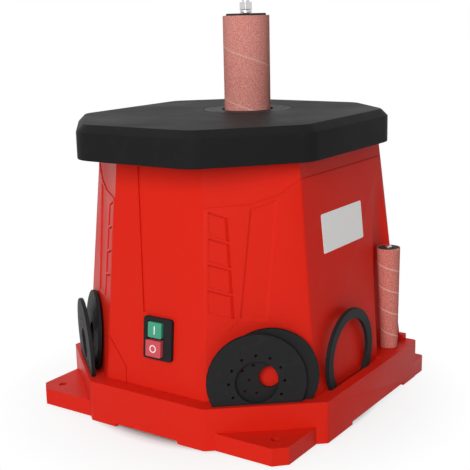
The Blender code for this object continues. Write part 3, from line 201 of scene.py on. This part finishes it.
def moulded(name, colour, scuffed, scuffs, gloss, grain, relief, metal=0.0, sheen=0.3):
    """A material in that finish; relief is the height of its grain in millimetres."""
    material = bpy.data.materials.new(name)
    material.use_nodes = True
    tree = material.node_tree
    skin = tree.nodes["Principled BSDF"]
    skin.inputs["Metallic"].default_value = metal
    skin.inputs["Specular IOR Level"].default_value = sheen
    finish = tree.nodes.new("ShaderNodeGroup")
    finish.node_tree = FINISH
    finish.inputs["Colour"].default_value = (*colour, 1)
    finish.inputs["Scuffed Colour"].default_value = (*scuffed, 1)
    finish.inputs["Scuffs"].default_value = scuffs
    finish.inputs["Gloss Low"].default_value = gloss[0]
    finish.inputs["Gloss High"].default_value = gloss[1]
    finish.inputs["Grain Scale"].default_value = grain
    bump = tree.nodes.new("ShaderNodeBump")
    bump.inputs["Strength"].default_value = 1.0
    bump.inputs["Distance"].default_value = relief * 0.001
    tree.links.new(finish.outputs["Colour"], skin.inputs["Base Color"])
    tree.links.new(finish.outputs["Roughness"], skin.inputs["Roughness"])
    tree.links.new(finish.outputs["Height"], bump.inputs["Height"])
    tree.links.new(bump.outputs["Normal"], skin.inputs["Normal"])
    return material


def dress(name, material, edge=0.0, corner=32):
    """Gives a CAD node its finish, and rounds its edges by that much when it has any."""
    node = nodes[name]
    node.data.materials.clear()
    node.data.materials.append(material)
    if "custom_normal" in node.data.attributes:
        node.data.attributes.remove(node.data.attributes["custom_normal"])
    node.data.shade_smooth()
    weld = node.modifiers.new("joined", "WELD")
    weld.merge_threshold = 0.00001
    if edge:
        plain = node.modifiers.new("plain_faces", "DECIMATE")
        plain.decimate_type = "DISSOLVE"
        plain.angle_limit = math.radians(0.6)
        bevel = node.modifiers.new("rounded_edges", "BEVEL")
        bevel.limit_method = "ANGLE"
        bevel.angle_limit = math.radians(corner)
        bevel.width = edge
        bevel.segments = 2
        bevel.use_clamp_overlap = False
        flat = node.modifiers.new("flat_faces", "WEIGHTED_NORMAL")
        flat.keep_sharp = True
        flat.weight = 100
    else:
        split = node.modifiers.new("crisp_edges", "EDGE_SPLIT")
        split.split_angle = math.radians(corner)
        split.use_edge_sharp = False


red_moulding = moulded(
    "red_moulding", (0.68, 0.018, 0.008), (0.72, 0.036, 0.018), 0.25, (0.34, 0.46), 1400.0, 0.02,
    sheen=0.07)
dress("base", red_moulding)


# Rubber feet pressed up into the four corners of the pan, and the
# screws that hold the pan to the housing, driven from below.
black_rubber = moulded(
    "black_rubber", (0.018, 0.018, 0.018), (0.05, 0.05, 0.05), 0.4, (0.70, 0.85), 700.0, 0.05)
for name in ("foot_front_right", "foot_front_left", "foot_rear_right", "foot_rear_left"):
    dress(name, black_rubber, edge=0.0005)
plated_steel = moulded(
    "plated_steel", (0.62, 0.62, 0.62), (0.42, 0.42, 0.41), 0.35, (0.24, 0.36), 2200.0, 0.01,
    metal=1.0, sheen=0.5)
for number in range(1, 5):
    dress(f"base_screw_{number}", plated_steel)


# Housing: the tapered red shell with panel lines, a niche for the spare
# drum and the hole for the switch, moulded in one piece, screwed from below.
dress("housing", red_moulding, corner=14)


# Blank plate: white foil with rounded corners, cut from sheet and stuck
# flat on the right-hand wall, a hair proud of it.
foil_size = (0.0870, 0.0400, 0.0003)
wall_lean = 0.0965
bpy.ops.object.select_all(action="DESELECT")
bpy.ops.mesh.primitive_plane_add(size=1)
blank_plate = bpy.context.object
blank_plate.name = "blank_plate"
bpy.ops.object.mode_set(mode="EDIT")
bpy.ops.mesh.select_all(action="SELECT")
bpy.ops.transform.resize(value=(foil_size[0], foil_size[1], 1))
bpy.ops.mesh.bevel(offset=0.0018, segments=4, affect="VERTICES")
bpy.ops.mesh.select_all(action="SELECT")
bpy.ops.mesh.extrude_region_move(TRANSFORM_OT_translate={"value": (0, 0, foil_size[2])})
bpy.ops.mesh.select_all(action="SELECT")
bpy.ops.mesh.normals_make_consistent(inside=False)
bpy.ops.object.mode_set(mode="OBJECT")
outwards = Vector((1, 0, wall_lean)).normalized()
upwards = Vector((-wall_lean, 0, 1)).normalized()
wall = Matrix((Vector((0, 1, 0)), upwards, outwards)).transposed().to_4x4()
plate_height = 0.2010
wall_foot = Vector((0.150, 0.01375, 0.0464))
plate_rise = plate_height - wall_foot.z
plate_place = Vector((wall_foot.x - wall_lean * plate_rise, wall_foot.y, plate_height))
glue_gap = 0.00005
blank_plate.matrix_world = Matrix.Translation(plate_place + outwards * glue_gap) @ wall
bpy.ops.object.transform_apply(location=True, rotation=True, scale=True)
rim = blank_plate.modifiers.new("soft_rim", "BEVEL")
rim.limit_method = "ANGLE"
rim.width = 0.0001
bpy.ops.object.modifier_apply(modifier=rim.name)
white_foil = moulded(
    "white_foil", (0.96, 0.96, 0.95), (0.86, 0.86, 0.84), 0.3, (0.30, 0.45), 600.0, 0.01, sheen=0.25)
blank_plate.data.materials.append(white_foil)
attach(blank_plate, "frame")


# Dust port and cable gland: two black mouldings, pushed through the back
# wall of the housing from outside.
black_moulding = moulded(
    "black_moulding", (0.018, 0.018, 0.019), (0.05, 0.05, 0.05), 0.30, (0.46, 0.58), 1100.0, 0.03,
    sheen=0.07)
dress("dust_port", black_moulding, edge=0.0006)
dress("cord_gland", black_moulding, edge=0.0003)


# Drive inside the shell: motor, belt, worm and the carriage that lifts
# the spindle. Turned steel, cast aluminium, bronze bushes, painted can.
cast_alloy = moulded(
    "cast_alloy", (0.55, 0.55, 0.54), (0.38, 0.38, 0.37), 0.5, (0.40, 0.55), 700.0, 0.05,
    metal=1.0, sheen=0.5)
bearing_bronze = moulded(
    "bearing_bronze", (0.55, 0.36, 0.14), (0.36, 0.22, 0.08), 0.4, (0.30, 0.42), 1500.0, 0.02,
    metal=1.0, sheen=0.5)
motor_paint = moulded(
    "motor_paint", (0.05, 0.055, 0.06), (0.12, 0.12, 0.12), 0.3, (0.38, 0.50), 900.0, 0.03)
for name in ("guide_rod_front", "guide_rod_rear", "motor_shaft", "wheel_axle", "crank_pin",
             "worm", "lower_collar", "upper_collar", "spindle_shaft"):
    dress(name, plated_steel)
for number in range(1, 5):
    dress(f"plate_bolt_{number}", plated_steel)
for name in ("drive_plate", "lower_plate", "carriage", "motor_pulley", "spindle_pulley"):
    dress(name, cast_alloy)
for name in ("upper_bush", "carriage_bearing", "pulley_bearing", "worm_wheel"):
    dress(name, bearing_bronze)
dress("motor_can", motor_paint)
dress("drive_belt", black_rubber)


# Table: cast iron ground flat, then blackened, with a rounded bevel all
# round and a recess for the loose ring round the spindle.
black_iron = moulded(
    "black_iron", (0.013, 0.013, 0.013), (0.030, 0.030, 0.030), 0.35, (0.50, 0.62), 520.0, 0.05,
    sheen=0.04)
dress("table", black_iron, edge=0.0008)


# Inserts: flat black mouldings with different openings. One lies in the
# table, the others stand in the slots of the pan.
for name in ("table_insert", "front_outer_insert", "front_inner_insert",
             "left_outer_insert", "left_inner_insert", "right_ring_insert"):
    dress(name, black_moulding, edge=0.0005)


# Spindle head: a rubber drum between plated washers, drawn tight by the
# nut on the end of the shaft so that it swells and grips the sleeve.
dress("rubber_drum", black_rubber, edge=0.0006)
dress("drum_washer", plated_steel, edge=0.0003)
dress("top_washer", plated_steel, edge=0.0003)
dress("spindle_nut", plated_steel, edge=0.0004)


# Sanding sleeves: abrasive cloth wound in a long spiral and glued, so one
# fine pale seam climbs round each tube. The spare one leans in its niche.
def abrasive(name, axis, lean, pitch, start, colour):
    """Grit on cloth; the seam starts at that height and falls by pitch in each turn."""
    material = bpy.data.materials.new(name)
    material.use_nodes = True
    tree = material.node_tree
    skin = tree.nodes["Principled BSDF"]
    skin.inputs["Roughness"].default_value = 0.88
    skin.inputs["Specular IOR Level"].default_value = 0.25
    place = tree.nodes.new("ShaderNodeTexCoord")
    centre = tree.nodes.new("ShaderNodeMapping")
    centre.vector_type = "TEXTURE"
    centre.inputs["Location"].default_value = (*axis, 0)
    centre.inputs["Rotation"].default_value = (0, lean, 0)
    parts = tree.nodes.new("ShaderNodeSeparateXYZ")
    angle = tree.nodes.new("ShaderNodeMath")
    angle.operation = "ARCTAN2"
    turns = tree.nodes.new("ShaderNodeMath")
    turns.operation = "MULTIPLY"
    turns.inputs[1].default_value = pitch / (2 * math.pi)
    rise = tree.nodes.new("ShaderNodeMath")
    rise.operation = "ADD"
    level = tree.nodes.new("ShaderNodeMath")
    level.operation = "SUBTRACT"
    level.inputs[1].default_value = start
    fold = tree.nodes.new("ShaderNodeMath")
    fold.operation = "PINGPONG"
    fold.inputs[1].default_value = pitch / 2
    seam = tree.nodes.new("ShaderNodeMapRange")
    seam.inputs["From Min"].default_value = 0.0004
    seam.inputs["From Max"].default_value = 0.0011
    seam.inputs["To Min"].default_value = 1.0
    seam.inputs["To Max"].default_value = 0.0
    grit = tree.nodes.new("ShaderNodeTexNoise")
    grit.inputs["Scale"].default_value = 1100.0
    grit.inputs["Detail"].default_value = 3.0
    grit.inputs["Roughness"].default_value = 0.75
    specks = tree.nodes.new("ShaderNodeValToRGB")
    ramp = specks.color_ramp
    ramp.elements[0].position = 0.34
    ramp.elements[0].color = (colour[0] * 0.62, colour[1] * 0.45, colour[2] * 0.42, 1)
    ramp.elements[1].position = 0.68
    ramp.elements[1].color = (
        min(1, colour[0] * 1.2), min(1, colour[1] * 1.9), min(1, colour[2] * 1.95), 1)
    middle = ramp.elements.new(0.5)
    middle.color = (*colour, 1)
    joint = tree.nodes.new("ShaderNodeMix")
    joint.data_type = "RGBA"
    joint.inputs["B"].default_value = (0.74, 0.50, 0.45, 1)
    fade = tree.nodes.new("ShaderNodeMath")
    fade.operation = "MULTIPLY"
    fade.inputs[1].default_value = 0.65
    bump = tree.nodes.new("ShaderNodeBump")
    bump.inputs["Strength"].default_value = 1.0
    bump.inputs["Distance"].default_value = 0.00025
    wire = tree.links.new
    wire(place.outputs["Object"], centre.inputs["Vector"])
    wire(place.outputs["Object"], grit.inputs["Vector"])
    wire(centre.outputs["Vector"], parts.inputs["Vector"])
    wire(parts.outputs["Y"], angle.inputs[0])
    wire(parts.outputs["X"], angle.inputs[1])
    wire(angle.outputs[0], turns.inputs[0])
    wire(turns.outputs[0], rise.inputs[0])
    wire(parts.outputs["Z"], rise.inputs[1])
    wire(rise.outputs[0], level.inputs[0])
    wire(level.outputs[0], fold.inputs[0])
    wire(fold.outputs[0], seam.inputs["Value"])
    wire(seam.outputs["Result"], fade.inputs[0])
    wire(grit.outputs["Fac"], specks.inputs["Fac"])
    wire(specks.outputs["Color"], joint.inputs["A"])
    wire(fade.outputs[0], joint.inputs["Factor"])
    wire(joint.outputs["Result"], skin.inputs["Base Color"])
    wire(grit.outputs["Fac"], bump.inputs["Height"])
    wire(bump.outputs["Normal"], skin.inputs["Normal"])
    return material


sleeve_turn = 0.055
sleeve_start = 0.3813 + math.radians(-117.8) * sleeve_turn / (2 * math.pi)
red_grit = abrasive("red_grit", (0, 0.045), 0.0, sleeve_turn, sleeve_start, (0.70, 0.25, 0.21))
dress("sanding_sleeve", red_grit, edge=0.0003)
spare_grit = abrasive("spare_grit", (0.1473, 0.1016), 0.0, 0.025, 0.060, (0.62, 0.18, 0.145))
dress("spare_sleeve", spare_grit, edge=0.0003)
dress("spare_drum", black_rubber, edge=0.0003)
dress("spare_core", plated_steel, edge=0.0002)


# Switch: a black box let into the front, a green start key above a red
# stop key, each with its plain mark printed in white.
dress("switch_case", black_moulding, edge=0.0005)
green_key = moulded(
    "green_key", (0.05, 0.33, 0.20), (0.12, 0.42, 0.28), 0.2, (0.30, 0.40), 1500.0, 0.015)
red_key = moulded(
    "red_key", (0.60, 0.07, 0.09), (0.68, 0.16, 0.18), 0.2, (0.30, 0.40), 1500.0, 0.015)
dress("start_button", green_key, edge=0.0006)
dress("stop_button", red_key, edge=0.0006)

# Marks on the keys: a bar and a ring in thick white ink, each printed on
# the face of its own key so that it goes in with it.
ink = moulded("white_ink", (0.86, 0.86, 0.85), (0.72, 0.70, 0.70), 0.3, (0.45, 0.6), 900.0, 0.01)
key_lean = math.atan2(0.091613, 0.995795)
upright = Matrix.Rotation(math.pi / 2 - key_lean, 4, "X")
ink_height = 0.00015
bpy.ops.object.select_all(action="DESELECT")
bpy.ops.mesh.primitive_plane_add(size=1)
start_mark = bpy.context.object
start_mark.name = "start_mark"
bpy.ops.object.mode_set(mode="EDIT")
bpy.ops.mesh.select_all(action="SELECT")
bpy.ops.transform.resize(value=(0.0013, 0.0085, 1))
bpy.ops.mesh.bevel(offset=0.0003, segments=2, affect="VERTICES")
bpy.ops.mesh.select_all(action="SELECT")
bpy.ops.mesh.extrude_region_move(TRANSFORM_OT_translate={"value": (0, 0, ink_height)})
bpy.ops.mesh.select_all(action="SELECT")
bpy.ops.mesh.normals_make_consistent(inside=False)
bpy.ops.object.mode_set(mode="OBJECT")
start_mark.matrix_world = Matrix.Translation((0.0037, -0.13950, 0.11024)) @ upright
bpy.ops.object.transform_apply(location=True, rotation=True, scale=True)
start_mark.data.materials.append(ink)
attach(start_mark, "start_button")

bpy.ops.object.select_all(action="DESELECT")
bpy.ops.mesh.primitive_circle_add(vertices=48, radius=0.0040, fill_type="NOTHING")
stop_mark = bpy.context.object
stop_mark.name = "stop_mark"
bpy.ops.object.mode_set(mode="EDIT")
bpy.ops.mesh.select_all(action="SELECT")
bpy.ops.mesh.extrude_edges_move()
bpy.ops.transform.resize(value=(0.72, 0.72, 1))
bpy.ops.mesh.select_all(action="SELECT")
bpy.ops.mesh.extrude_region_move(TRANSFORM_OT_translate={"value": (0, 0, ink_height)})
bpy.ops.mesh.select_all(action="SELECT")
bpy.ops.mesh.normals_make_consistent(inside=False)
bpy.ops.object.mode_set(mode="OBJECT")
stop_mark.matrix_world = Matrix.Translation((0.0037, -0.14322, 0.09170)) @ upright
bpy.ops.object.transform_apply(location=True, rotation=True, scale=True)
stop_mark.data.materials.append(ink)
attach(stop_mark, "stop_button")
